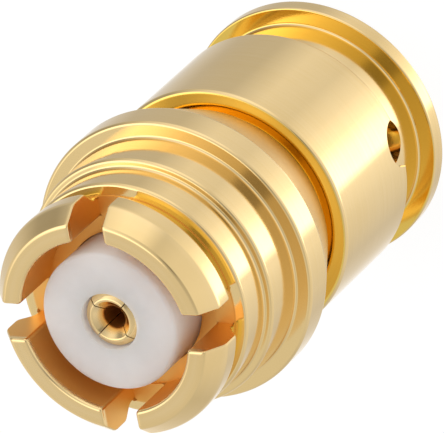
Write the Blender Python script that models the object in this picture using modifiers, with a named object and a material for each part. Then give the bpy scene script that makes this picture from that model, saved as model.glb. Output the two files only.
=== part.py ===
"""A straight push-on coaxial socket of the SMP size, for a semi-rigid cable.

The part stands on its rear flange: the origin is the middle of the flange's rear face and +Z runs
along the axis to the slotted mouth. It is four pieces: a slotted front sleeve whose spigot is
pressed into a turned rear body, an insulator trapped between the two, and a socket contact that
runs through the insulator.
"""

import math

import bmesh
import bpy
from mathutils import Matrix, Vector

MM = 0.001

# Lengths of the rear body along the axis, counted up from the flange's rear face
FLANGE_THICKNESS = 0.25 * MM
REAR_NECK_LENGTH = 0.72 * MM
BARREL_LENGTH = 1.79 * MM

# Lengths of the front sleeve, counted up from the open groove in front of the barrel
JOINT_GROOVE_WIDTH = 0.09 * MM
TAPER_LENGTH = 0.87 * MM
REAR_RING_LENGTH = 0.42 * MM
MIDDLE_RING_LENGTH = 0.64 * MM
FRONT_RING_LENGTH = 0.475 * MM
FINGER_LENGTH = 0.815 * MM

# Outer diameters, from the flange to the mouth
FLANGE_DIAMETER = 3.54 * MM
REAR_NECK_DIAMETER = 3.06 * MM
BARREL_DIAMETER = 3.48 * MM
JOINT_GROOVE_DIAMETER = 2.90 * MM
TAPER_END_DIAMETER = 3.04 * MM
REAR_RING_DIAMETER = 3.86 * MM
MIDDLE_RING_DIAMETER = 3.42 * MM
FRONT_RING_DIAMETER = 3.19 * MM

# Fingers: a thin neck behind a raised bead that snaps into the mating shroud
FINGER_NECK_DIAMETER = 2.86 * MM
BEAD_DIAMETER = 3.20 * MM
BEAD_LEAD_LENGTH = 0.25 * MM
BEAD_CREST_LENGTH = 0.28 * MM
BEAD_BACK_LENGTH = 0.16 * MM
MOUTH_FACE_DIAMETER = 2.82 * MM
MOUTH_BORE_DIAMETER = 2.34 * MM
MOUTH_FLOOR_RELIEF = 0.03 * MM
SLOT_COUNT = 4
SLOT_WIDTH = 0.48 * MM
SLOT_ANGLE = math.radians(45)
SLOT_WEB = 0.01 * MM

# Press fit of the sleeve's spigot in the body
SPIGOT_DIAMETER = 2.60 * MM
SPIGOT_LENGTH = 1.00 * MM
FIT_CLEARANCE = 0.01 * MM
SEAT_CLEARANCE = 0.02 * MM

# Cable entry behind the stop ring
CABLE_BORE_DIAMETER = 2.24 * MM
STOP_RING_THICKNESS = 0.32 * MM
STOP_RING_BORE_DIAMETER = 1.72 * MM
SIDE_HOLE_DIAMETER = 0.66 * MM
SIDE_HOLE_ANGLE = math.radians(-35)

# Insulator
INSULATOR_DIAMETER = 1.88 * MM
INSULATOR_RECESS = 0.17 * MM
INSULATOR_FLANGE_DIAMETER = 2.14 * MM
INSULATOR_FLANGE_LENGTH = 0.42 * MM

# Socket contact
CONTACT_DIAMETER = 0.75 * MM
CONTACT_RECESS = 0.02 * MM
CONTACT_SHOULDER_DIAMETER = 0.98 * MM
CONTACT_SHOULDER_LENGTH = 0.48 * MM
CONTACT_SHOULDER_INSET = 0.42 * MM
CONTACT_TAIL_DIAMETER = 0.72 * MM
CONTACT_TAIL_LENGTH = 0.95 * MM
SOCKET_BORE_DIAMETER = 0.30 * MM
SOCKET_BORE_DEPTH = 1.90 * MM
SOCKET_MOUTH_DIAMETER = 0.55 * MM
SOCKET_LEAD_DEPTH = 0.115 * MM
LEAF_TIP_LENGTH = 0.07 * MM
SOLDER_CUP_DIAMETER = 0.53 * MM
SOLDER_CUP_DEPTH = 0.80 * MM
SLIT_COUNT = 4
SLIT_WIDTH = 0.02 * MM
SLIT_DEPTH = 1.45 * MM
SLIT_ANGLE = 0.0

# Edge breaks and fillets
RING_CHAMFER = 0.05 * MM
BARREL_CHAMFER = 0.06 * MM
FLANGE_FRONT_RADIUS = 0.03 * MM
FLANGE_REAR_RADIUS = 0.05 * MM
CORNER_FILLET = 0.04 * MM
BEAD_RADIUS = 0.05 * MM
FACE_EDGE_RADIUS = 0.025 * MM
CABLE_LEAD_IN = 0.08 * MM
SMALL_CHAMFER = 0.03 * MM
MOUTH_CHAMFER = 0.05 * MM
INSULATOR_EDGE_RADIUS = 0.05 * MM
DRILL_POINT_SLOPE = 0.6

# How finely a turned surface and a rounded edge are divided
BODY_FACETS = 80
INSULATOR_FACETS = 64
CONTACT_FACETS = 40
HOLE_FACETS = 32
CHAMFER = 1
FILLET_STEPS = 2
ROUND_STEPS = 3
CRISP_ANGLE = math.radians(25)
AXIS_MERGE = 0.0001 * MM
CUTTER_OVERRUN = 0.5 * MM

# Heights above the flange's rear face
NECK_TOP = FLANGE_THICKNESS + REAR_NECK_LENGTH
BARREL_TOP = NECK_TOP + BARREL_LENGTH
SLEEVE_SHOULDER = BARREL_TOP + JOINT_GROOVE_WIDTH
TAPER_TOP = SLEEVE_SHOULDER + TAPER_LENGTH
REAR_RING_TOP = TAPER_TOP + REAR_RING_LENGTH
MIDDLE_RING_TOP = REAR_RING_TOP + MIDDLE_RING_LENGTH
FRONT_RING_TOP = MIDDLE_RING_TOP + FRONT_RING_LENGTH
MOUTH = FRONT_RING_TOP + FINGER_LENGTH
MOUTH_FLOOR = FRONT_RING_TOP - MOUTH_FLOOR_RELIEF
SPIGOT_END = SLEEVE_SHOULDER - SPIGOT_LENGTH
STOP_RING_TOP = SPIGOT_END - SEAT_CLEARANCE
STOP_RING_BOTTOM = STOP_RING_TOP - STOP_RING_THICKNESS
INSULATOR_REAR = STOP_RING_TOP + SEAT_CLEARANCE
INSULATOR_STEP = INSULATOR_REAR + INSULATOR_FLANGE_LENGTH
INSULATOR_FRONT = MOUTH - INSULATOR_RECESS
CONTACT_FRONT = INSULATOR_FRONT - CONTACT_RECESS
SHOULDER_REAR = INSULATOR_REAR + CONTACT_SHOULDER_INSET
SHOULDER_FRONT = SHOULDER_REAR + CONTACT_SHOULDER_LENGTH
CONTACT_REAR = SHOULDER_REAR - CONTACT_TAIL_LENGTH


def empty_scene():
    for obj in list(bpy.data.objects):
        bpy.data.objects.remove(obj, do_unlink=True)


def new_collection(name):
    collection = bpy.data.collections.new(name)
    bpy.context.scene.collection.children.link(collection)
    return collection


def principled(name, colour, roughness, metallic):
    material = bpy.data.materials.new(name)
    material.use_nodes = True
    material.diffuse_color = (*colour, 1.0)
    shader = material.node_tree.nodes["Principled BSDF"]
    shader.inputs["Base Color"].default_value = (*colour, 1.0)
    shader.inputs["Roughness"].default_value = roughness
    shader.inputs["Metallic"].default_value = metallic
    return material


def corner_points(before, corner, after, setback, steps):
    """A corner cut back along both its edges: one step is a chamfer, more are a round arc."""
    to_before = before - corner
    to_after = after - corner
    setback = min(setback, 0.45 * to_before.length, 0.45 * to_after.length)
    to_before.normalize()
    to_after.normalize()
    start = corner + setback * to_before
    end = corner + setback * to_after
    if steps == CHAMFER:
        return [start, end]
    half_angle = to_before.angle(to_after) / 2
    centre = corner + (to_before + to_after).normalized() * setback / math.cos(half_angle)
    sweep = (end - centre).angle_signed(start - centre)
    turns = [Matrix.Rotation(sweep * step / steps, 2) for step in range(steps + 1)]
    return [centre + turn @ (start - centre) for turn in turns]


def section_points(corners):
    """The outline of a section given as (radius, height) or (radius, height, setback, steps)."""
    places = [Vector(corner[:2]) for corner in corners]
    outline = []
    for index, corner in enumerate(corners):
        if len(corner) == 2:
            outline.append(places[index])
            continue
        setback, steps = corner[2:]
        before = places[index - 1]
        after = places[(index + 1) % len(corners)]
        outline += corner_points(before, places[index], after, setback, steps)
    return outline


def turned(name, corners, facets, collection, material, bored_through=True):
    """A turned solid from its half section, which runs down the outer side from top to bottom."""
    section = bmesh.new()
    verts = [section.verts.new((point.x, 0.0, point.y)) for point in section_points(corners)]
    for first, second in zip(verts, verts[1:]):
        section.edges.new((first, second))
    if bored_through:
        section.edges.new((verts[-1], verts[0]))
    mesh = bpy.data.meshes.new(name)
    section.to_mesh(mesh)
    section.free()
    mesh.materials.append(material)
    obj = bpy.data.objects.new(name, mesh)
    collection.objects.link(obj)
    screw = obj.modifiers.new("turn", "SCREW")
    screw.axis = "Z"
    screw.angle = math.tau
    screw.steps = facets
    screw.render_steps = facets
    screw.use_merge_vertices = not bored_through
    screw.merge_threshold = AXIS_MERGE
    screw.use_smooth_shade = True
    return obj


def cutter(name, shape, collection):
    mesh = bpy.data.meshes.new(name)
    shape.to_mesh(mesh)
    shape.free()
    obj = bpy.data.objects.new(name, mesh)
    obj.hide_render = True
    obj.display_type = "WIRE"
    collection.objects.link(obj)
    return obj


def saw_cuts(name, count, first_angle, width, inner, outer, bottom, top, collection):
    """Radial slots sawn down from the top, as one cutter of separate blades."""
    shape = bmesh.new()
    size = Matrix.Diagonal((outer - inner, width, top - bottom, 1.0))
    place = Matrix.Translation(((inner + outer) / 2, 0.0, (bottom + top) / 2))
    for index in range(count):
        turn = Matrix.Rotation(first_angle + index * math.tau / count, 4, "Z")
        bmesh.ops.create_cube(shape, size=1.0, matrix=turn @ place @ size)
    return cutter(name, shape, collection)


def side_drill(name, diameter, height, angle, inner, outer, collection):
    shape = bmesh.new()
    turn = Matrix.Rotation(angle, 4, "Z")
    place = Matrix.Translation(((inner + outer) / 2, 0.0, height))
    lie = Matrix.Rotation(math.pi / 2, 4, "Y")
    bmesh.ops.create_cone(
        shape,
        cap_ends=True,
        segments=HOLE_FACETS,
        radius1=diameter / 2,
        radius2=diameter / 2,
        depth=outer - inner,
        matrix=turn @ place @ lie,
    )
    return cutter(name, shape, collection)


def cut(target, tool):
    boolean = target.modifiers.new(tool.name, "BOOLEAN")
    boolean.operation = "DIFFERENCE"
    boolean.solver = "EXACT"
    boolean.object = tool


def settle(obj):
    """Applies the modifiers, then keeps turned corners crisp and round surfaces smooth."""
    bpy.context.view_layer.update()
    evaluated = obj.evaluated_get(bpy.context.evaluated_depsgraph_get())
    mesh = bpy.data.meshes.new_from_object(evaluated)
    obj.modifiers.clear()
    obj.data = mesh
    mesh.shade_smooth()
    mesh.set_sharp_from_angle(angle=CRISP_ANGLE)


def rear_body(parts, cutters, metal):
    """Flange, neck and barrel in one turning, bored for the cable and for the sleeve's spigot."""
    flange = FLANGE_DIAMETER / 2
    neck = REAR_NECK_DIAMETER / 2
    barrel = BARREL_DIAMETER / 2
    socket = SPIGOT_DIAMETER / 2 + FIT_CLEARANCE
    stop = STOP_RING_BORE_DIAMETER / 2
    cable = CABLE_BORE_DIAMETER / 2
    body = turned(
        "rear_body",
        [
            (socket, BARREL_TOP, SMALL_CHAMFER, CHAMFER),
            (barrel, BARREL_TOP, BARREL_CHAMFER, CHAMFER),
            (barrel, NECK_TOP, BARREL_CHAMFER, CHAMFER),
            (neck, NECK_TOP, CORNER_FILLET, FILLET_STEPS),
            (neck, FLANGE_THICKNESS, CORNER_FILLET, FILLET_STEPS),
            (flange, FLANGE_THICKNESS, FLANGE_FRONT_RADIUS, ROUND_STEPS),
            (flange, 0.0, FLANGE_REAR_RADIUS, FILLET_STEPS),
            (cable, 0.0, CABLE_LEAD_IN, CHAMFER),
            (cable, STOP_RING_BOTTOM),
            (stop, STOP_RING_BOTTOM, SMALL_CHAMFER, CHAMFER),
            (stop, STOP_RING_TOP),
            (socket, STOP_RING_TOP),
        ],
        BODY_FACETS,
        parts,
        metal,
    )
    reach = max(flange, barrel) + CUTTER_OVERRUN
    hole = side_drill(
        "side_hole_drill", SIDE_HOLE_DIAMETER, NECK_TOP, SIDE_HOLE_ANGLE, cable / 2, reach, cutters
    )
    cut(body, hole)
    return body


def front_sleeve(parts, cutters, metal):
    """Three stepped rings and a taper, with the sprung fingers in front and the spigot behind."""
    spigot = SPIGOT_DIAMETER / 2
    groove = JOINT_GROOVE_DIAMETER / 2
    taper_end = TAPER_END_DIAMETER / 2
    rear_ring = REAR_RING_DIAMETER / 2
    middle_ring = MIDDLE_RING_DIAMETER / 2
    front_ring = FRONT_RING_DIAMETER / 2
    finger = FINGER_NECK_DIAMETER / 2
    bead = BEAD_DIAMETER / 2
    face = MOUTH_FACE_DIAMETER / 2
    mouth = MOUTH_BORE_DIAMETER / 2
    bore = INSULATOR_DIAMETER / 2 + FIT_CLEARANCE
    counterbore = INSULATOR_FLANGE_DIAMETER / 2 + FIT_CLEARANCE
    counterbore_top = INSULATOR_STEP + SEAT_CLEARANCE
    crest_front = MOUTH - BEAD_LEAD_LENGTH
    crest_back = crest_front - BEAD_CREST_LENGTH
    bead_foot = crest_back - BEAD_BACK_LENGTH
    seat = BARREL_TOP + SEAT_CLEARANCE
    sleeve = turned(
        "front_sleeve",
        [
            (mouth, MOUTH, MOUTH_CHAMFER, CHAMFER),
            (face, MOUTH, FACE_EDGE_RADIUS, FILLET_STEPS),
            (bead, crest_front, BEAD_RADIUS, ROUND_STEPS),
            (bead, crest_back, BEAD_RADIUS, ROUND_STEPS),
            (finger, bead_foot, BEAD_RADIUS, FILLET_STEPS),
            (finger, FRONT_RING_TOP),
            (front_ring, FRONT_RING_TOP, RING_CHAMFER, CHAMFER),
            (front_ring, MIDDLE_RING_TOP, CORNER_FILLET, FILLET_STEPS),
            (middle_ring, MIDDLE_RING_TOP, RING_CHAMFER, CHAMFER),
            (middle_ring, REAR_RING_TOP, CORNER_FILLET, FILLET_STEPS),
            (rear_ring, REAR_RING_TOP, RING_CHAMFER, CHAMFER),
            (rear_ring, TAPER_TOP),
            (taper_end, SLEEVE_SHOULDER, SMALL_CHAMFER, FILLET_STEPS),
            (groove, SLEEVE_SHOULDER),
            (groove, seat),
            (spigot, seat),
            (spigot, SPIGOT_END, SMALL_CHAMFER, CHAMFER),
            (counterbore, SPIGOT_END),
            (counterbore, counterbore_top),
            (bore, counterbore_top),
            (bore, MOUTH_FLOOR),
            (mouth, MOUTH_FLOOR),
        ],
        BODY_FACETS,
        parts,
        metal,
    )
    slots = saw_cuts(
        "finger_slot_saw",
        SLOT_COUNT,
        SLOT_ANGLE,
        SLOT_WIDTH,
        bore,
        bead + CUTTER_OVERRUN,
        FRONT_RING_TOP + SLOT_WEB,
        MOUTH + CUTTER_OVERRUN,
        cutters,
    )
    cut(sleeve, slots)
    return sleeve


def insulator(parts, plastic):
    """A flanged bead: the flange is trapped between the sleeve's step and the body's stop ring."""
    outer = INSULATOR_DIAMETER / 2
    flange = INSULATOR_FLANGE_DIAMETER / 2
    bore = CONTACT_DIAMETER / 2 + FIT_CLEARANCE
    pocket = CONTACT_SHOULDER_DIAMETER / 2 + FIT_CLEARANCE
    pocket_top = SHOULDER_FRONT + SEAT_CLEARANCE
    return turned(
        "insulator",
        [
            (bore, INSULATOR_FRONT),
            (outer, INSULATOR_FRONT, INSULATOR_EDGE_RADIUS, ROUND_STEPS),
            (outer, INSULATOR_STEP),
            (flange, INSULATOR_STEP, SMALL_CHAMFER, CHAMFER),
            (flange, INSULATOR_REAR, SMALL_CHAMFER, CHAMFER),
            (pocket, INSULATOR_REAR, SMALL_CHAMFER, CHAMFER),
            (pocket, pocket_top),
            (bore, pocket_top),
        ],
        INSULATOR_FACETS,
        parts,
        plastic,
    )


def socket_contact(parts, cutters, metal):
    """A slit socket in front, a shoulder that stops it in the insulator, and a solder cup behind."""
    outer = CONTACT_DIAMETER / 2
    shoulder = CONTACT_SHOULDER_DIAMETER / 2
    tail = CONTACT_TAIL_DIAMETER / 2
    bore = SOCKET_BORE_DIAMETER / 2
    bore_mouth = SOCKET_MOUTH_DIAMETER / 2
    cup = SOLDER_CUP_DIAMETER / 2
    bore_floor = CONTACT_FRONT - SOCKET_BORE_DEPTH
    cup_floor = CONTACT_REAR + SOLDER_CUP_DEPTH
    contact = turned(
        "socket_contact",
        [
            (0.0, bore_floor - DRILL_POINT_SLOPE * bore),
            (bore, bore_floor),
            (bore, CONTACT_FRONT - SOCKET_LEAD_DEPTH, SMALL_CHAMFER, FILLET_STEPS),
            (bore_mouth, CONTACT_FRONT, SMALL_CHAMFER, ROUND_STEPS),
            (outer, CONTACT_FRONT - LEAF_TIP_LENGTH, SMALL_CHAMFER, FILLET_STEPS),
            (outer, SHOULDER_FRONT),
            (shoulder, SHOULDER_FRONT, SMALL_CHAMFER, CHAMFER),
            (shoulder, SHOULDER_REAR, SMALL_CHAMFER, CHAMFER),
            (tail, SHOULDER_REAR),
            (tail, CONTACT_REAR, SMALL_CHAMFER, CHAMFER),
            (cup, CONTACT_REAR, SMALL_CHAMFER, CHAMFER),
            (cup, cup_floor),
            (0.0, cup_floor + DRILL_POINT_SLOPE * cup),
        ],
        CONTACT_FACETS,
        parts,
        metal,
        bored_through=False,
    )
    slits = saw_cuts(
        "contact_slit_saw",
        SLIT_COUNT,
        SLIT_ANGLE,
        SLIT_WIDTH,
        bore / 2,
        outer + SLIT_WIDTH,
        CONTACT_FRONT - SLIT_DEPTH,
        CONTACT_FRONT + CUTTER_OVERRUN,
        cutters,
    )
    cut(contact, slits)
    return contact


def main():
    empty_scene()
    parts = new_collection("coaxial_socket")
    cutters = new_collection("cutters")
    body_gold = principled("gold plated body", (0.85, 0.62, 0.27), 0.2, 1.0)
    spring_gold = principled("gold plated spring alloy", (0.87, 0.64, 0.29), 0.17, 1.0)
    white_plastic = principled("white fluoropolymer", (0.78, 0.74, 0.73), 0.55, 0.0)
    pieces = [
        rear_body(parts, cutters, body_gold),
        front_sleeve(parts, cutters, spring_gold),
        insulator(parts, white_plastic),
        socket_contact(parts, cutters, spring_gold),
    ]
    for piece in pieces:
        settle(piece)


main()
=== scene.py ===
"""Gold plated push-on coaxial socket with slotted spring fingers, in pale studio light."""

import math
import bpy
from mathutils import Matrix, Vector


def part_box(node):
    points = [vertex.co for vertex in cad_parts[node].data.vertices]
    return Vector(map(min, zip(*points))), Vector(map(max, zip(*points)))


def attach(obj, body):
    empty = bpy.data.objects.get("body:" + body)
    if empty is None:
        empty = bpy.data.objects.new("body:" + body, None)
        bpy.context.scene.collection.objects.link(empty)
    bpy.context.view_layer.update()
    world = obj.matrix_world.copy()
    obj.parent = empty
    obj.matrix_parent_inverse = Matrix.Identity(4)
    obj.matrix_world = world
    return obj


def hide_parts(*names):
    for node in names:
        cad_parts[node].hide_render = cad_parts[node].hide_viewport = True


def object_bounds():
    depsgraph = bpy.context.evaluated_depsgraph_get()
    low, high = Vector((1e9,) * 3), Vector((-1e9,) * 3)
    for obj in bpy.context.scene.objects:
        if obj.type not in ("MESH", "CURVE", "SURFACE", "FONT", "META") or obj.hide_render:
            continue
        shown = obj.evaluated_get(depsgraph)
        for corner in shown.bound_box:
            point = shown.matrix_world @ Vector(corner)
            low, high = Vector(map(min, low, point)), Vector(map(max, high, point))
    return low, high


bl_info = {
    "name": "Coaxial Socket",
    "version": (1, 0, 0),
    "blender": (4, 5, 0),
    "location": "3D View > Sidebar > Connector",
    "description": "Builds the turned, gold plated pieces of a push-on coaxial socket and its stage",
    "category": "Add Mesh",
}

import bmesh
import bpy
from mathutils import Matrix, Vector

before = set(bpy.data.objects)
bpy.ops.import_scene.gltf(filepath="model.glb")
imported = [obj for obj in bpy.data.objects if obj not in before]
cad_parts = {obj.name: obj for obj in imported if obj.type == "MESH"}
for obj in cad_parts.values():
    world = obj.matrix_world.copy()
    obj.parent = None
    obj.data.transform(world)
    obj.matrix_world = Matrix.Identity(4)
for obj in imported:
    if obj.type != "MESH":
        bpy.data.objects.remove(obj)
CAD_LOW, CAD_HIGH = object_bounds()

MM = 0.001
MICRON = 0.001 * MM
SAME_PLACE = MICRON / 10
BODY_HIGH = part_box("rear_body")[1]
SLEEVE_LOW, SLEEVE_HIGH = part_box("front_sleeve")
INSULATOR_LOW, INSULATOR_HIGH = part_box("insulator")
CONTACT_LOW, CONTACT_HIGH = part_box("socket_contact")

# How finely a turned surface and a rounded edge are divided
TURN_COLUMNS = 256
SLOT_COLUMNS = 8
CONTACT_COLUMNS = 144
HOLE_COLUMNS = 64
EDGE_STEPS = 5
SAWN_EDGE_STEPS = 3
SHEET_COLUMNS = 96

# Faces that meet at a smaller angle are shaded as one surface
SMOOTH_ANGLE = math.radians(32)

# Small edges, the slope at a drilled hole's end, and the most of a side that a corner may take
SMALL_EDGE = 0.03 * MM
TAPER_EDGE = 0.015 * MM
DRILL_POINT_SLOPE = 0.6
MOST_SETBACK = 0.45

# How far cutters reach past what they cut
SAW_OVERRUN = 0.5 * MM
DRILL_REACH = 1.2

# Share of a face's direction along the axis or away from it, between which the painted shade on steps and in
# hollows fades in or out
FACING_MOUTH = (0.8, 0.97)
FACING_OUTWARD = (0.1, 0.4)

# How far the groove's painted shade, a deeper gold, reaches past the faces that bound a groove
BARREL_FACE_BELOW = 0.005 * MM
BARREL_FACE_ABOVE = 0.1 * MM
GROOVE_MARGIN = 0.02 * MM
BEAD_FOOT_MARGIN = 0.05 * MM

# The tool's feed on a face against that on a cylinder, and the depth of its lines
FACE_FEED = 0.83
LINE_DEPTH = 0.6 * MICRON

# Millimetres over which one finish of the plating, or its painted shade, gives way to the next
CROWN_FADE = 0.1
GROOVE_RISE = 0.01
GROOVE_FALL = 0.05
MATT_FADE = 0.02
RIM_FADE = 0.03
ABOVE_CROWN = (0.02, 0.04)
BELOW_MOUTH = (0.1, 0.04)

# Brightness of the studio by bearing, in turns, in directions below, level with and above the socket
LIGHT_BELOW = (
    (0.0, 0.44), (0.11, 0.29), (0.17, 0.26), (0.28, 0.34), (0.345, 0.42),
    (0.365, 0.95), (0.41, 0.84), (0.45, 0.54), (0.5, 0.4), (0.56, 0.31),
    (0.64, 0.34), (0.72, 0.23), (0.84, 0.22), (0.94, 0.29), (1.0, 0.44),
)
LIGHT_MIDDLE = (
    (0.0, 0.32), (0.17, 0.24), (0.24, 0.3), (0.41, 0.36), (0.5, 0.34),
    (0.55, 0.28), (0.59, 0.43), (0.64, 0.46), (0.7, 0.35), (0.79, 0.15),
    (0.83, 0.16), (0.9, 0.3), (1.0, 0.32),
)
LIGHT_ABOVE = (
    (0.0, 0.28), (0.17, 0.28), (0.39, 0.22), (0.5, 0.2), (0.61, 0.29),
    (0.72, 0.43), (0.8, 0.66), (0.86, 0.72), (0.93, 0.48), (1.0, 0.28),
)
BELOW_TO_MIDDLE = (-0.6, -0.15)
MIDDLE_TO_ABOVE = (0.35, 0.7)
LIGHT_STRENGTH = 2.5

# The camera's dark lens, mirrored in faces that look straight at it
LENS_OUTER = math.radians(12)
LENS_INNER = math.radians(6)
LENS_SHADE = 0.45

# The sheet's own white and its share in what the camera sees
SHEET_GLOW = 1.07
SHEET_GLOW_SHARE = 0.85

# The mouth's centre as the camera sees it: to the right, down and away
MOUTH_FROM_CAMERA = Vector((-1.481, 1.383, 99.139)) * MM
SENSOR_WIDTH = 36.0


def length(label, description, size):
    return bpy.props.FloatProperty(
        name=label, description=description, default=size, min=0.0, unit="LENGTH", precision=6
    )


def colour(label, description, value):
    return bpy.props.FloatVectorProperty(
        name=label, description=description, default=value, size=3, min=0.0, max=1.0, subtype="COLOR"
    )


def amount(label, description, value, most=1.0):
    return bpy.props.FloatProperty(
        name=label, description=description, default=value, min=0.0, max=most, subtype="FACTOR"
    )


def angle(label, description, degrees):
    return bpy.props.FloatProperty(
        name=label, description=description, default=math.radians(degrees), subtype="ANGLE", unit="ROTATION"
    )


class RearBodySizes(bpy.types.PropertyGroup):
    flange_thickness: length("Flange", "Thickness of the rear flange", 0.25 * MM)
    neck_length: length("Neck", "Length of the neck in front of the flange", 0.72 * MM)
    flange_diameter: length("Flange diameter", "Diameter of the rear flange", 3.54 * MM)
    neck_diameter: length("Neck diameter", "Diameter of the rear neck", 3.06 * MM)
    barrel_diameter: length("Barrel diameter", "Diameter of the barrel", 3.48 * MM)
    socket_diameter: length("Socket", "Bore that takes the sleeve's spigot", 2.62 * MM)
    socket_floor: length("Socket floor", "Height of the stop ring's front", 1.83 * MM)
    stop_thickness: length("Stop ring", "Thickness of the stop ring", 0.32 * MM)
    stop_bore: length("Stop ring bore", "Bore of the stop ring", 1.72 * MM)
    cable_bore: length("Cable bore", "Bore that takes the cable", 2.24 * MM)
    cable_lead_in: length("Lead-in", "Chamfer at the cable bore", 0.08 * MM)
    barrel_edge: length("Barrel edge", "Rounding of the barrel's edges", 0.06 * MM)
    flange_front_edge: length("Flange front edge", "Rounding of the flange's front edge", 0.03 * MM)
    flange_rear_edge: length("Flange rear edge", "Rounding of the flange's rear edge", 0.05 * MM)
    fillet: length("Fillet", "Fillet in the neck's corners", 0.04 * MM)
    hole_diameter: length("Side hole", "Diameter of the solder hole", 0.66 * MM)
    hole_angle: angle("Side hole angle", "Place of the hole round the axis", -35)


class SleeveSizes(bpy.types.PropertyGroup):
    groove_width: length("Groove", "Open groove between barrel and taper", 0.09 * MM)
    taper_length: length("Taper", "Length of the taper", 0.87 * MM)
    rear_ring_length: length("Rear ring", "Length of the largest ring", 0.42 * MM)
    middle_ring_length: length("Middle ring", "Length of the middle ring", 0.64 * MM)
    front_ring_length: length("Front ring", "Length of the front ring", 0.475 * MM)
    spigot_diameter: length("Spigot", "Diameter of the pressed spigot", 2.6 * MM)
    seat_gap: length("Seat gap", "Gap between the sleeve's seat and the barrel", 0.003 * MM)
    groove_diameter: length("Groove diameter", "Diameter of the groove's floor", 2.9 * MM)
    taper_end_diameter: length("Taper end", "Small end of the taper", 3.04 * MM)
    middle_ring_diameter: length("Middle ring diameter", "Diameter of the middle ring", 3.42 * MM)
    front_ring_diameter: length("Front ring diameter", "Diameter of the front ring", 3.19 * MM)
    finger_diameter: length("Finger neck", "Diameter of the fingers behind the bead", 2.86 * MM)
    bead_diameter: length("Bead", "Diameter over the snap bead", 3.2 * MM)
    bead_lead: length("Bead lead", "Length of the bead's front slope", 0.25 * MM)
    bead_crest: length("Bead crest", "Length of the bead's crest", 0.28 * MM)
    bead_back: length("Bead back", "Length of the bead's rear slope", 0.16 * MM)
    face_diameter: length("Mouth face", "Outer diameter of the fingers' faces", 2.82 * MM)
    mouth_bore: length("Mouth bore", "Bore inside the fingers", 2.34 * MM)
    insulator_bore: length("Insulator bore", "Bore round the insulator", 1.9 * MM)
    counterbore: length("Counterbore", "Bore round the insulator's flange", 2.16 * MM)
    counterbore_floor: length("Counterbore floor", "Height of the counterbore's floor", 2.29 * MM)
    slot_width: length("Slot", "Width of the slots between fingers", 0.48 * MM)
    slot_web: length("Slot web", "Height of a slot's floor above the front ring", 0.01 * MM)
    mouth_relief: length("Mouth relief", "Depth of the mouth below the front ring's face", 0.03 * MM)
    ring_edge: length("Ring edge", "Rounding of the rings' edges", 0.05 * MM)
    fillet: length("Fillet", "Fillet in the rings' corners", 0.04 * MM)
    bead_edge: length("Bead edge", "Rounding of the bead's corners", 0.05 * MM)
    face_edge: length("Face edge", "Rounding of the face's outer edge", 0.04 * MM)
    mouth_edge: length("Mouth edge", "Chamfer of the face's inner edge", 0.05 * MM)
    sawn_edge: length("Sawn edge", "Rounding along the slots", 0.035 * MM)
    slot_angle: angle("Slot angle", "Place of the first slot round the axis", 45)
    slot_count: bpy.props.IntProperty(
        name="Slots", description="Number of slots between fingers", default=4, min=2, max=8
    )


class InsulatorSizes(bpy.types.PropertyGroup):
    diameter: length("Diameter", "Diameter of the face seen in the mouth", 1.88 * MM)
    flange_length: length("Flange", "Length of the trapped flange", 0.42 * MM)
    contact_bore: length("Contact bore", "Bore round the contact", 0.77 * MM)
    pocket_bore: length("Pocket", "Bore round the contact's shoulder", 1.0 * MM)
    pocket_depth: length("Pocket depth", "Depth of the shoulder's pocket", 0.92 * MM)
    edge: length("Edge", "Rounding of the face's edge", 0.05 * MM)
    small_edge: length("Small edge", "Rounding of the other edges", 0.03 * MM)


class ContactSizes(bpy.types.PropertyGroup):
    diameter: length("Diameter", "Diameter of the socket end", 0.75 * MM)
    tail_diameter: length("Tail", "Diameter of the soldered end", 0.72 * MM)
    tail_length: length("Tail length", "Length of the soldered end", 0.95 * MM)
    shoulder_length: length("Shoulder", "Length of the shoulder", 0.48 * MM)
    pin_bore: length("Pin bore", "Bore that takes the pin", 0.3 * MM)
    pin_depth: length("Pin depth", "Depth of the pin bore", 1.9 * MM)
    lead_diameter: length("Lead-in", "Diameter of the lead-in", 0.55 * MM)
    lead_depth: length("Lead-in depth", "Depth of the lead-in", 0.115 * MM)
    tip_length: length("Tip", "Length of the leaves' rounded tips", 0.07 * MM)
    cup_bore: length("Solder cup", "Bore of the solder cup", 0.53 * MM)
    cup_depth: length("Solder cup depth", "Depth of the solder cup", 0.8 * MM)
    slit_width: length("Slit", "Width of the slits between leaves", 0.014 * MM)
    slit_depth: length("Slit depth", "Depth of the slits", 1.45 * MM)
    edge: length("Edge", "Rounding of the edges", 0.03 * MM)
    slit_count: bpy.props.IntProperty(
        name="Slits", description="Number of slits between leaves", default=4, min=2, max=8
    )


class FinishSettings(bpy.types.PropertyGroup):
    gold: colour("Gold", "Bright gold plating", (0.95, 0.71, 0.36))
    warm_gold: colour("Warm gold", "Slightly redder plating", (0.93, 0.68, 0.32))
    # The next four golds are painted shade: deeper golds that stand in for the shade and bounced light on the
    # ring steps, at the rear neck, in the grooves and inside the bores and slots
    step_shade_gold: colour("Step gold", "Plating on the steps between the rings", (0.96, 0.71, 0.33))
    deep_shade_gold: colour("Deep gold", "Plating on the step at the rear neck", (0.93, 0.64, 0.13))
    groove_shade_gold: colour("Groove gold", "Plating in the narrow grooves", (0.97, 0.69, 0.17))
    hollow_shade_gold: colour("Hollow gold", "Plating inside the bores and slots", (0.90, 0.50, 0.14))
    fluoropolymer: colour("Fluoropolymer", "White of the insulator", (0.94, 0.85, 0.81))
    gold_roughness: amount("Gold roughness", "How soft the plating's reflections are", 0.11)
    taper_roughness: amount("Taper roughness", "How soft the taper's reflections are", 0.36)
    plastic_roughness: amount("Plastic roughness", "How matt the insulator is", 0.48)
    hollow_roughness: amount("Bore roughness", "How soft the reflections in the bores are", 0.42)
    plastic_glow: amount("Plastic glow", "How much light travels inside the insulator", 1.0)
    glow_depth: length("Glow depth", "How deep light reaches into the insulator", 0.9 * MM)
    turning: amount("Turning lines", "Depth of the fine turning lines", 0.25)


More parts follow.
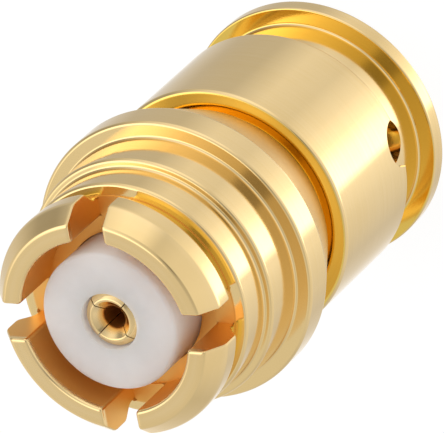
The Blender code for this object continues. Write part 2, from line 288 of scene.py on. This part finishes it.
class StageSettings(bpy.types.PropertyGroup):
    tilt: angle("Tilt", "Angle between the view and the axis", 38.5)
    side: angle("Side", "Camera's place round the axis", -5.6)
    roll: angle("Roll", "Direction of the axis in the picture", -42.93)
    focal_length: bpy.props.FloatProperty(
        name="Focal length", description="Lens on a 36 mm wide sensor", default=648.0, unit="CAMERA"
    )
    sheet: colour("Sheet", "Pale sheet that the socket stands on", (0.96, 0.96, 0.96))
    sheet_radius: length("Sheet radius", "Radius of the pale sheet", 0.4)


class Value:
    """A socket of a shader graph, so that shader maths reads as plain expressions."""

    def __init__(self, graph, socket):
        self.graph = graph
        self.socket = socket

    def maths(self, operation, *others):
        return self.graph.add("ShaderNodeMath", {"operation": operation}, [self, *others])

    def __add__(self, other):
        return self.maths("ADD", other)

    def __radd__(self, other):
        return self.maths("ADD", other)

    def __sub__(self, other):
        return self.maths("SUBTRACT", other)

    def __rsub__(self, other):
        return self.graph.add("ShaderNodeMath", {"operation": "SUBTRACT"}, [other, self])

    def __mul__(self, other):
        return self.maths("MULTIPLY", other)

    def __truediv__(self, other):
        return self.maths("DIVIDE", other)

    def __pow__(self, other):
        return self.maths("POWER", other)


class Graph:
    """A material's or a world's node tree, emptied."""

    def __init__(self, tree):
        self.tree = tree
        tree.nodes.clear()

    def add(self, kind, settings=None, inputs=(), output=0):
        """A new node: its settings come first, then the values or links of its sockets."""
        node = self.tree.nodes.new(kind)
        for name, setting in (settings or {}).items():
            if name == "stops":
                self.set_stops(node.color_ramp, setting)
            else:
                setattr(node, name, setting)
        pairs = inputs.items() if isinstance(inputs, dict) else enumerate(inputs)
        for key, given in pairs:
            if isinstance(given, Value):
                self.tree.links.new(given.socket, node.inputs[key])
            elif given is not None:
                node.inputs[key].default_value = given
        return Value(self, node.outputs[output]) if node.outputs else node

    @staticmethod
    def set_stops(ramp, stops):
        while len(ramp.elements) < len(stops):
            ramp.elements.new(1.0)
        for element, (position, level) in zip(ramp.elements, stops):
            element.position = position
            element.color = (level, level, level, 1.0)

    def split(self, vector):
        node = self.tree.nodes.new("ShaderNodeSeparateXYZ")
        self.tree.links.new(vector.socket, node.inputs[0])
        return [Value(self, socket) for socket in node.outputs]

    def smooth(self, value, start, end):
        """0 before start, 1 after end, and a smooth step between them."""
        settings = {"interpolation_type": "SMOOTHSTEP"}
        return self.add("ShaderNodeMapRange", settings, {"Value": value, "From Min": start, "From Max": end})

    def between(self, value, rise, fall):
        """1 between two smooth steps, each given by its start and end."""
        return self.smooth(value, *rise) * (1 - self.smooth(value, *fall))

    def lines(self, along, scale, detail):
        """Noise in one direction only, as a tool leaves it."""
        settings = {"noise_dimensions": "1D"}
        return self.add("ShaderNodeTexNoise", settings, {"W": along, "Scale": scale, "Detail": detail})

    def mottle(self, place, scale, detail):
        return self.add("ShaderNodeTexNoise", None, {"Vector": place, "Scale": scale, "Detail": detail})

    def mix_colour(self, factor, first, second):
        return self.add("ShaderNodeMix", {"data_type": "RGBA"}, {0: factor, 6: first, 7: second}, output=2)


def opaque(rgb):
    return (*rgb, 1.0)


def new_material(name):
    material = bpy.data.materials.new(name)
    material.use_nodes = True
    return material, Graph(material.node_tree)


def millimetres(graph):
    place = graph.add("ShaderNodeTexCoord", output="Object")
    settings = {"operation": "SCALE"}
    return graph.add("ShaderNodeVectorMath", settings, {0: place, "Scale": 1.0 / MM})


def gold_plating(name, finish, step_shade_gold, crown, grooves=(), matt_zone=None, mouth=None):
    """Bright plating over turned metal, with fine rings from the tool and a slow drift of tone and gloss.

    Steps that face the mouth below the crown's height, grooves and the hollows inside the mouth have
    deeper golds of their own, painted shade that stands in for the shade and bounced light there, and the
    hollows and the matt zone a softer gloss. The mouth is given by its rim's radius and its height.
    """
    material, graph = new_material(name)
    place = millimetres(graph)
    x, y, z = graph.split(place)
    radius = (x * x + y * y) ** 0.5
    across, away, up = graph.split(graph.add("ShaderNodeTexCoord", output="Normal"))
    feed = z + radius * FACE_FEED
    fine_lines = graph.lines(feed, scale=95.0, detail=2.0)
    wide_lines = graph.lines(feed, scale=17.0, detail=1.0)
    cloud = graph.mottle(place, scale=0.9, detail=2.0)
    grain = graph.mottle(place, scale=38.0, detail=3.0)
    tone = graph.smooth(cloud * 0.7 + wide_lines * 0.3, 0.35, 0.65)
    plated = graph.mix_colour(tone, opaque(finish.gold), opaque(finish.warm_gold))
    crown = crown / MM
    # Painted shade: faces that look towards the mouth, below the crown, take the step gold, a deeper gold
    # standing in for the light bounced between steps
    painted_step_shade = graph.smooth(up, *FACING_MOUTH) * (1 - graph.smooth(z, crown, crown + CROWN_FADE))
    base = graph.mix_colour(painted_step_shade, plated, opaque(step_shade_gold))
    roughness = finish.gold_roughness + (cloud - 0.5) * 0.05 + (grain - 0.5) * 0.04
    roughness = roughness + (wide_lines - 0.5) * 0.03
    for groove in grooves:
        bottom, top = (height / MM for height in groove)
        # Painted shade: a deeper gold in each groove, standing in for its shade and bounced light
        deep = graph.between(z, (bottom - GROOVE_RISE, bottom), (top - GROOVE_FALL, top))
        base = graph.mix_colour(deep, base, opaque(finish.groove_shade_gold))
    if matt_zone:
        bottom, top = (height / MM for height in matt_zone)
        matt = graph.between(z, (bottom, bottom + MATT_FADE), (top - MATT_FADE, top))
        roughness = roughness + matt * (finish.taper_roughness - finish.gold_roughness)
    if mouth:
        rim, top = (size / MM for size in mouth)
        # Painted shade: faces that look inward inside the mouth and bores take the darker hollow gold in
        # place of their shade, and the same mask softens their gloss
        inward = 1 - graph.smooth((across * x + away * y) / radius, *FACING_OUTWARD)
        beneath = 1 - graph.smooth(z, *(top - depth for depth in BELOW_MOUTH))
        within = graph.smooth(z, *(crown + rise for rise in ABOVE_CROWN))
        hollow = inward * beneath * within.maths("MAXIMUM", 1 - graph.smooth(radius, rim, rim + RIM_FADE))
        base = graph.mix_colour(hollow, base, opaque(finish.hollow_shade_gold))
        roughness = roughness + hollow * (finish.hollow_roughness - finish.gold_roughness)
    height = fine_lines * 0.6 + wide_lines * 0.5 + grain * 0.35
    settings = {"Strength": finish.turning, "Distance": LINE_DEPTH, "Height": height}
    bump = graph.add("ShaderNodeBump", None, settings)
    shader = graph.add(
        "ShaderNodeBsdfPrincipled",
        None,
        {"Base Color": base, "Metallic": 1.0, "Roughness": roughness, "Normal": bump},
    )
    graph.add("ShaderNodeOutputMaterial", None, {"Surface": shader})
    return material


def waxy_fluoropolymer(name, finish):
    """Slightly waxy white plastic, faced in a lathe."""
    material, graph = new_material(name)
    place = millimetres(graph)
    x, y, z = graph.split(place)
    radius = (x * x + y * y) ** 0.5
    facing = graph.lines(radius + z, scale=34.0, detail=2.0)
    cloud = graph.mottle(place, scale=2.2, detail=3.0)
    shade = tuple(0.94 * channel for channel in finish.fluoropolymer)
    base = graph.mix_colour(graph.smooth(cloud, 0.3, 0.7), opaque(finish.fluoropolymer), opaque(shade))
    roughness = finish.plastic_roughness + (cloud - 0.5) * 0.12 + (facing - 0.5) * 0.08
    bump = graph.add("ShaderNodeBump", None, {"Strength": 0.25, "Distance": MICRON, "Height": facing})
    shader = graph.add(
        "ShaderNodeBsdfPrincipled",
        None,
        {
            "Base Color": base,
            "Metallic": 0.0,
            "Roughness": roughness,
            "IOR": 1.36,
            "Subsurface Weight": finish.plastic_glow,
            "Subsurface Radius": (1.0, 0.9, 0.85),
            "Subsurface Scale": finish.glow_depth,
            "Normal": bump,
        },
    )
    graph.add("ShaderNodeOutputMaterial", None, {"Surface": shader})
    return material


def corner_arc(before, corner, after, setback, steps):
    """A corner cut back along both its edges: one step is a chamfer, more are a round arc."""
    to_before = before - corner
    to_after = after - corner
    setback = min(setback, MOST_SETBACK * to_before.length, MOST_SETBACK * to_after.length)
    to_before.normalize()
    to_after.normalize()
    start = corner + setback * to_before
    end = corner + setback * to_after
    half_angle = to_before.angle(to_after) / 2
    centre = corner + (to_before + to_after).normalized() * setback / math.cos(half_angle)
    sweep = (end - centre).angle_signed(start - centre)
    turns = [Matrix.Rotation(sweep * step / steps, 2) for step in range(steps + 1)]
    return [centre + turn @ (start - centre) for turn in turns]


def outline(corners):
    """The points of a half section given as (radius, height), with a setback where an edge is broken."""
    places = [Vector(corner[:2]) for corner in corners]
    points = []
    for index, corner in enumerate(corners):
        if len(corner) == 2:
            points.append(places[index])
            continue
        steps = corner[3] if len(corner) == 4 else EDGE_STEPS
        before = places[index - 1]
        after = places[(index + 1) % len(corners)]
        points += corner_arc(before, places[index], after, corner[2], steps)
    return points


def polar(radius, turn, height):
    return Vector((radius * math.cos(turn), radius * math.sin(turn), height))


def add_face(mesh, corners):
    """A face through these corners, leaving out one that comes twice, as on the axis."""
    distinct = list(dict.fromkeys(corners))
    if len(distinct) > 2:
        mesh.faces.new(distinct)


def lathe(points, columns, closed=True):
    """A turned solid. An outline that isn't closed starts and ends on the axis."""
    mesh = bmesh.new()
    rings = []
    for point in points:
        if point.x < MICRON:
            rings.append([mesh.verts.new((0.0, 0.0, point.y))] * columns)
            continue
        turns = [math.tau * column / columns for column in range(columns)]
        rings.append([mesh.verts.new(polar(point.x, turn, point.y)) for turn in turns])
    following = rings[1:] + rings[:1] if closed else rings[1:]
    for ring, following_ring in zip(rings, following):
        for column in range(columns):
            beside = (column + 1) % columns
            add_face(mesh, [ring[column], ring[beside], following_ring[beside], following_ring[column]])
    bmesh.ops.recalc_face_normals(mesh, faces=mesh.faces)
    return mesh


def slotted_lathe(points, first, last, sizes):
    """A turned solid whose outline from point first to point last, a finger, is sawn through in slots."""
    mesh = bmesh.new()
    count = sizes.slot_count
    step = math.tau / count
    per_part = TURN_COLUMNS // count
    columns = per_part * count

    def turn(radius, column):
        part, place = divmod(column, per_part)
        half = math.asin(sizes.slot_width / 2 / radius)
        middle = sizes.slot_angle + part * step
        if place <= SLOT_COLUMNS:
            return middle - half + 2 * half * place / SLOT_COLUMNS
        share = (place - SLOT_COLUMNS + 1) / (per_part - SLOT_COLUMNS + 2)
        return middle + half + (step - 2 * half) * share

    def in_slot(column):
        return column % per_part < SLOT_COLUMNS

    rings = []
    for index, point in enumerate(points):
        above_floor = first < index < last
        ring = []
        for column in range(columns):
            sawn_away = above_floor and 0 < column % per_part < SLOT_COLUMNS
            place = polar(point.x, turn(point.x, column), point.y)
            ring.append(None if sawn_away else mesh.verts.new(place))
        rings.append(ring)
    for index, ring in enumerate(rings):
        following = rings[(index + 1) % len(rings)]
        for column in range(columns):
            if first <= index < last and in_slot(column):
                continue
            beside = (column + 1) % columns
            add_face(mesh, [ring[column], ring[beside], following[beside], following[column]])
    sawn_edges = []
    for part in range(count):
        for column in (part * per_part, part * per_part + SLOT_COLUMNS):
            border = [rings[index][column] for index in range(first, last + 1)]
            mesh.faces.new(border)
            sawn_edges += [mesh.edges.get(pair) for pair in zip(border, border[1:])]
        for column in range(part * per_part, part * per_part + SLOT_COLUMNS):
            outer, inner = rings[first], rings[last]
            add_face(mesh, [outer[column], outer[column + 1], inner[column + 1], inner[column]])
    bmesh.ops.recalc_face_normals(mesh, faces=mesh.faces)
    bmesh.ops.bevel(
        mesh,
        geom=sawn_edges,
        offset=sizes.sawn_edge,
        offset_type="OFFSET",
        segments=SAWN_EDGE_STEPS,
        profile=0.5,
        affect="EDGES",
        clamp_overlap=False,
    )
    return mesh


def blades(count, first_angle, width, inner, outer, bottom, top):
    mesh = bmesh.new()
    size = Matrix.Diagonal((outer - inner, width, top - bottom, 1.0))
    place = Matrix.Translation(((inner + outer) / 2, 0.0, (bottom + top) / 2))
    for index in range(count):
        turn = Matrix.Rotation(first_angle + index * math.tau / count, 4, "Z")
        bmesh.ops.create_cube(mesh, size=1.0, matrix=turn @ place @ size)
    return mesh


def side_drill(diameter, height, turn_angle, inner, outer):
    mesh = bmesh.new()
    turn = Matrix.Rotation(turn_angle, 4, "Z")
    place = Matrix.Translation(((inner + outer) / 2, 0.0, height))
    lie = Matrix.Rotation(math.pi / 2, 4, "Y")
    bmesh.ops.create_cone(
        mesh,
        cap_ends=True,
        segments=HOLE_COLUMNS,
        radius1=diameter / 2,
        radius2=diameter / 2,
        depth=outer - inner,
        matrix=turn @ place @ lie,
    )
    return mesh


def new_object(name, shape):
    mesh = bpy.data.meshes.new(name)
    shape.to_mesh(mesh)
    shape.free()
    obj = bpy.data.objects.new(name, mesh)
    bpy.context.scene.collection.objects.link(obj)
    return obj


def apply_modifiers(obj):
    bpy.context.view_layer.update()
    evaluated = obj.evaluated_get(bpy.context.evaluated_depsgraph_get())
    old = obj.data
    obj.data = bpy.data.meshes.new_from_object(evaluated)
    obj.modifiers.clear()
    bpy.data.meshes.remove(old)


def cut_away(obj, shape):
    tool = new_object(obj.name + "_tool", shape)
    cut = obj.modifiers.new("cut", "BOOLEAN")
    cut.operation = "DIFFERENCE"
    cut.solver = "EXACT"
    cut.object = tool
    apply_modifiers(obj)
    bpy.data.objects.remove(tool, do_unlink=True)


def true_normals(mesh):
    """Normals for faces that meet at a small angle, where large faces outweigh small ones by far, so that
    a flat or a cylinder reflects as it would without its rounded edges."""
    beside = [[] for vertex in mesh.vertices]
    facing = [face.normal.copy() for face in mesh.polygons]
    weight = [(face.area / MM**2) ** 2 for face in mesh.polygons]
    for face in mesh.polygons:
        for vertex in face.vertices:
            beside[vertex].append(face.index)
    normals = []
    for face in mesh.polygons:
        own = facing[face.index]
        for vertex in face.vertices:
            smooth = [near for near in beside[vertex] if own.dot(facing[near]) > math.cos(SMOOTH_ANGLE)]
            total = sum((facing[near] * weight[near] for near in smooth), Vector())
            normals.append(total.normalized())
    mesh.normals_split_custom_set(normals)


def finish_piece(obj, node, material):
    """Smooth round surfaces, flat faces that stay flat, and the piece set on the frame."""
    if not obj.data.polygons:
        raise RuntimeError(obj.name + " has no faces")
    obj.data.shade_smooth()
    obj.data.set_sharp_from_angle(angle=SMOOTH_ANGLE)
    true_normals(obj.data)
    obj.data.materials.clear()
    obj.data.materials.append(material)
    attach(obj, "root")
    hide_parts(node)


class BuildRearBody(bpy.types.Operator):
    """Turn the rear body: barrel, neck, flange and the bores for the cable and the sleeve"""

    bl_idname = "connector.rear_body"
    bl_label = "Rear Body"

    def execute(self, context):
        sizes = context.scene.rear_body_sizes
        barrel_top = BODY_HIGH.z
        neck_top = sizes.flange_thickness + sizes.neck_length
        flange = sizes.flange_diameter / 2
        neck = sizes.neck_diameter / 2
        barrel = sizes.barrel_diameter / 2
        socket = sizes.socket_diameter / 2
        stop = sizes.stop_bore / 2
        cable = sizes.cable_bore / 2
        stop_bottom = sizes.socket_floor - sizes.stop_thickness
        points = outline(
            [
                (socket, barrel_top, SMALL_EDGE),
                (barrel, barrel_top, sizes.barrel_edge),
                (barrel, neck_top, sizes.barrel_edge),
                (neck, neck_top, sizes.fillet),
                (neck, sizes.flange_thickness, sizes.fillet),
                (flange, sizes.flange_thickness, sizes.flange_front_edge),
                (flange, 0.0, sizes.flange_rear_edge),
                (cable, 0.0, sizes.cable_lead_in, 1),
                (cable, stop_bottom),
                (stop, stop_bottom, SMALL_EDGE),
                (stop, sizes.socket_floor),
                (socket, sizes.socket_floor),
            ]
        )
        body = new_object("turned_rear_body", lathe(points, TURN_COLUMNS))
        drill = side_drill(sizes.hole_diameter, neck_top, sizes.hole_angle, cable / 2, DRILL_REACH * flange)
        cut_away(body, drill)
        finish = context.scene.connector_finish
        # Painted shade: the barrel's front face in the groove takes the groove gold, and faces looking up
        # below it, as the flange's front face, the deep gold
        front_face = (barrel_top - BARREL_FACE_BELOW, barrel_top + BARREL_FACE_ABOVE)
        gold = gold_plating("gold plated brass", finish, finish.deep_shade_gold, barrel_top, grooves=[front_face])
        finish_piece(body, "rear_body", gold)
        return {"FINISHED"}


class BuildFrontSleeve(bpy.types.Operator):
    """Turn the front sleeve with its rings and taper, and saw its snap bead into fingers"""

    bl_idname = "connector.front_sleeve"
    bl_label = "Front Sleeve"

    def execute(self, context):
        sizes = context.scene.sleeve_sizes
        shoulder = BODY_HIGH.z + sizes.groove_width
        taper_top = shoulder + sizes.taper_length
        rear_top = taper_top + sizes.rear_ring_length
        middle_top = rear_top + sizes.middle_ring_length
        front_top = middle_top + sizes.front_ring_length
        mouth = SLEEVE_HIGH.z - SAME_PLACE
        slot_floor = front_top + sizes.slot_web
        mouth_floor = front_top - sizes.mouth_relief
        crest_front = mouth - sizes.bead_lead
        crest_back = crest_front - sizes.bead_crest
        bead_foot = crest_back - sizes.bead_back
        face = sizes.face_diameter / 2
        bead = sizes.bead_diameter / 2
        finger = sizes.finger_diameter / 2
        front_ring = sizes.front_ring_diameter / 2
        middle_ring = sizes.middle_ring_diameter / 2
        rear_ring = SLEEVE_HIGH.x
        taper_end = sizes.taper_end_diameter / 2
        groove = sizes.groove_diameter / 2
        seat = BODY_HIGH.z + sizes.seat_gap
        spigot = sizes.spigot_diameter / 2
        counterbore = sizes.counterbore / 2
        bore = sizes.insulator_bore / 2
        mouth_bore = sizes.mouth_bore / 2
        points = outline(
            [
                (mouth_bore, slot_floor),
                (mouth_bore, mouth, sizes.mouth_edge),
                (face, mouth, sizes.face_edge),
                (bead, crest_front, sizes.bead_edge),
                (bead, crest_back, sizes.bead_edge),
                (finger, bead_foot, sizes.bead_edge),
                (finger, slot_floor),
                (finger, front_top),
                (front_ring, front_top, sizes.ring_edge),
                (front_ring, middle_top, sizes.fillet),
                (middle_ring, middle_top, sizes.ring_edge),
                (middle_ring, rear_top, sizes.fillet),
                (rear_ring, rear_top, sizes.ring_edge),
                (rear_ring, taper_top, TAPER_EDGE),
                (taper_end, shoulder, SMALL_EDGE),
                (groove, shoulder),
                (groove, seat),
                (spigot, seat),
                (spigot, SLEEVE_LOW.z, SMALL_EDGE),
                (counterbore, SLEEVE_LOW.z),
                (counterbore, sizes.counterbore_floor),
                (bore, sizes.counterbore_floor),
                (bore, mouth_floor),
                (mouth_bore, mouth_floor),
            ]
        )
        on_floor = [index for index, point in enumerate(points) if abs(point.y - slot_floor) < SAME_PLACE]
        finger_end = on_floor[1]
        sleeve = new_object("slotted_front_sleeve", slotted_lathe(points, 0, finger_end, sizes))
        finish = context.scene.connector_finish
        # Painted shade: deeper golds on the ring steps, in both grooves and inside the fingers; the taper is
        # only rougher
        gold = gold_plating(
            "gold plated spring alloy",
            finish,
            finish.step_shade_gold,
            front_top,
            grooves=[
                (seat, shoulder + GROOVE_MARGIN),
                (front_top + GROOVE_MARGIN, bead_foot + BEAD_FOOT_MARGIN),
            ],
            matt_zone=(shoulder, taper_top),
            mouth=(finger, mouth),
        )
        finish_piece(sleeve, "front_sleeve", gold)
        return {"FINISHED"}


class BuildInsulator(bpy.types.Operator):
    """Turn the white insulator that is trapped between the sleeve and the rear body"""

    bl_idname = "connector.insulator"
    bl_label = "Insulator"

    def execute(self, context):
        sizes = context.scene.insulator_sizes
        front = INSULATOR_HIGH.z
        rear = INSULATOR_LOW.z
        outer = sizes.diameter / 2
        flange = INSULATOR_HIGH.x
        step = rear + sizes.flange_length
        bore = sizes.contact_bore / 2
        pocket = sizes.pocket_bore / 2
        pocket_top = rear + sizes.pocket_depth
        points = outline(
            [
                (bore, front, sizes.small_edge / 3),
                (outer, front, sizes.edge),
                (outer, step),
                (flange, step, sizes.small_edge),
                (flange, rear, sizes.small_edge),
                (pocket, rear, sizes.small_edge),
                (pocket, pocket_top),
                (bore, pocket_top),
            ]
        )
        bead = new_object("insulator_bead", lathe(points, TURN_COLUMNS))
        white = waxy_fluoropolymer("waxy white fluoropolymer", context.scene.connector_finish)
        finish_piece(bead, "insulator", white)
        return {"FINISHED"}


class BuildContact(bpy.types.Operator):
    """Turn the socket contact and slit its front into leaves"""

    bl_idname = "connector.contact"
    bl_label = "Socket Contact"

    def execute(self, context):
        sizes = context.scene.contact_sizes
        front = CONTACT_HIGH.z
        rear = CONTACT_LOW.z
        shoulder_rear = rear + sizes.tail_length
        shoulder_front = shoulder_rear + sizes.shoulder_length
        bore_floor = front - sizes.pin_depth
        cup_floor = rear + sizes.cup_depth
        outer = sizes.diameter / 2
        shoulder = CONTACT_HIGH.x
        tail = sizes.tail_diameter / 2
        bore = sizes.pin_bore / 2
        cup = sizes.cup_bore / 2
        points = outline(
            [
                (0.0, bore_floor - DRILL_POINT_SLOPE * bore),
                (bore, bore_floor),
                (bore, front - sizes.lead_depth, sizes.edge),
                (sizes.lead_diameter / 2, front, sizes.edge),
                (outer, front - sizes.tip_length, sizes.edge),
                (outer, shoulder_front),
                (shoulder, shoulder_front, sizes.edge),
                (shoulder, shoulder_rear, sizes.edge),
                (tail, shoulder_rear),
                (tail, rear, sizes.edge),
                (cup, rear, sizes.edge),
                (cup, cup_floor),
                (0.0, cup_floor + DRILL_POINT_SLOPE * cup),
            ]
        )
        contact = new_object("slit_socket_contact", lathe(points, CONTACT_COLUMNS, closed=False))
        slits = blades(
            sizes.slit_count,
            0.0,
            sizes.slit_width,
            bore / 2,
            outer + sizes.slit_width,
            front - sizes.slit_depth,
            front + SAW_OVERRUN,
        )
        cut_away(contact, slits)
        finish = context.scene.connector_finish
        # Painted shade: a deeper gold on the shoulder's step and inside the pin bore
        gold = gold_plating(
            "gold plated contact", finish, finish.step_shade_gold, shoulder_front, mouth=(bore, front)
        )
        finish_piece(contact, "socket_contact", gold)
        return {"FINISHED"}


def tent_light(graph, stage):
    """How bright the studio is in each direction, by bearing and height, with the camera's lens darker."""
    direction = graph.add("ShaderNodeTexCoord", output="Generated")
    turned = graph.add(
        "ShaderNodeVectorRotate",
        {"rotation_type": "Z_AXIS"},
        {"Vector": direction, "Angle": -stage.side},
    )
    x, y, z = graph.split(turned)
    bearing = y.maths("ARCTAN2", x) / math.tau + 0.5
    below = graph.add("ShaderNodeValToRGB", {"stops": LIGHT_BELOW}, [bearing])
    middle = graph.add("ShaderNodeValToRGB", {"stops": LIGHT_MIDDLE}, [bearing])
    above = graph.add("ShaderNodeValToRGB", {"stops": LIGHT_ABOVE}, [bearing])
    rise = graph.smooth(z, *BELOW_TO_MIDDLE)
    top = graph.smooth(z, *MIDDLE_TO_ABOVE)
    level = (below * (1 - rise) + (middle * (1 - top) + above * top) * rise) * LIGHT_STRENGTH
    towards_lens = graph.add(
        "ShaderNodeVectorMath",
        {"operation": "DOT_PRODUCT"},
        [turned, (math.sin(stage.tilt), 0.0, math.cos(stage.tilt))],
        output="Value",
    )
    lens = graph.smooth(towards_lens, math.cos(LENS_OUTER), math.cos(LENS_INNER))
    return level * (1 - lens * LENS_SHADE)


class BuildStage(bpy.types.Operator):
    """Set the pale sheet, the soft light and the camera"""

    bl_idname = "connector.stage"
    bl_label = "Stage"

    def execute(self, context):
        stage = context.scene.connector_stage
        self.add_sheet(stage)
        self.add_light(context.scene, stage)
        self.add_camera(context.scene, stage)
        context.scene.view_settings.view_transform = "Standard"
        return {"FINISHED"}

    def add_sheet(self, stage):
        mesh = bmesh.new()
        bmesh.ops.create_circle(mesh, cap_ends=True, segments=SHEET_COLUMNS, radius=stage.sheet_radius)
        sheet = new_object("pale_sheet", mesh)
        material, graph = new_material("pale sheet")
        camera_ray = graph.add("ShaderNodeLightPath", output="Is Camera Ray")
        matt = graph.add("ShaderNodeBsdfDiffuse", None, {"Color": opaque(stage.sheet)})
        white = graph.add("ShaderNodeEmission", None, {"Strength": SHEET_GLOW})
        lit = graph.add("ShaderNodeMixShader", None, [camera_ray * SHEET_GLOW_SHARE, matt, white])
        behind = graph.add("ShaderNodeNewGeometry", output="Backfacing")
        clear = graph.add("ShaderNodeBsdfTransparent")
        surface = graph.add("ShaderNodeMixShader", None, [behind, lit, clear])
        graph.add("ShaderNodeOutputMaterial", None, {"Surface": surface})
        sheet.data.materials.append(material)
        sheet.visible_glossy = False

    def add_light(self, scene, stage):
        world = bpy.data.worlds.new("light tent")
        world.use_nodes = True
        graph = Graph(world.node_tree)
        camera_ray = graph.add("ShaderNodeLightPath", output="Is Camera Ray")
        level = tent_light(graph, stage)
        strength = camera_ray + (1 - camera_ray) * level
        light = graph.add("ShaderNodeBackground", None, {"Strength": strength, "Color": (1.0, 1.0, 1.0, 1.0)})
        graph.add("ShaderNodeOutputWorld", None, {"Surface": light})
        scene.world = world

    def add_camera(self, scene, stage):
        data = bpy.data.cameras.new("camera")
        data.lens = stage.focal_length
        data.sensor_width = SENSOR_WIDTH
        data.clip_start = 1 * MM
        data.clip_end = 10.0
        camera = bpy.data.objects.new("camera", data)
        scene.collection.objects.link(camera)
        near = Vector((math.cos(stage.side), math.sin(stage.side), 0.0))
        axis = Vector((0.0, 0.0, 1.0))
        up_axis = math.cos(stage.tilt) * near - math.sin(stage.tilt) * axis
        across = -axis.cross(near)
        view = -math.sin(stage.tilt) * near - math.cos(stage.tilt) * axis
        right = math.cos(stage.roll) * up_axis - math.sin(stage.roll) * across
        down = math.sin(stage.roll) * up_axis + math.cos(stage.roll) * across
        mouth = Vector((0.0, 0.0, CAD_HIGH.z))
        offset = MOUTH_FROM_CAMERA
        place = mouth - (offset.x * right + offset.y * down + offset.z * view)
        rotation = Matrix((right, -down, -view)).transposed()
        camera.matrix_world = Matrix.Translation(place) @ rotation.to_4x4()
        scene.camera = camera


class ConnectorPanel(bpy.types.Panel):
    bl_label = "Coaxial Socket"
    bl_idname = "VIEW3D_PT_coaxial_socket"
    bl_space_type = "VIEW_3D"
    bl_region_type = "UI"
    bl_category = "Connector"

    def draw(self, context):
        for operator in OPERATORS:
            self.layout.operator(operator.bl_idname)
        for name in SETTINGS:
            box = self.layout.box()
            box.label(text=name.replace("_", " ").capitalize())
            group = getattr(context.scene, name)
            for key in group.bl_rna.properties.keys():
                if key not in ("rna_type", "name"):
                    box.prop(group, key)


SETTINGS = {
    "rear_body_sizes": RearBodySizes,
    "sleeve_sizes": SleeveSizes,
    "insulator_sizes": InsulatorSizes,
    "contact_sizes": ContactSizes,
    "connector_finish": FinishSettings,
    "connector_stage": StageSettings,
}
OPERATORS = (BuildRearBody, BuildFrontSleeve, BuildInsulator, BuildContact, BuildStage)


def register():
    for cls in (*SETTINGS.values(), *OPERATORS, ConnectorPanel):
        bpy.utils.register_class(cls)
    for name, group in SETTINGS.items():
        setattr(bpy.types.Scene, name, bpy.props.PointerProperty(type=group))


def unregister():
    for name in SETTINGS:
        delattr(bpy.types.Scene, name)
    for cls in reversed((*SETTINGS.values(), *OPERATORS, ConnectorPanel)):
        bpy.utils.unregister_class(cls)


def main():
    register()
    bpy.ops.connector.rear_body()
    bpy.ops.connector.front_sleeve()
    bpy.ops.connector.insulator()
    bpy.ops.connector.contact()
    bpy.ops.connector.stage()


if __name__ == "__main__":
    main()
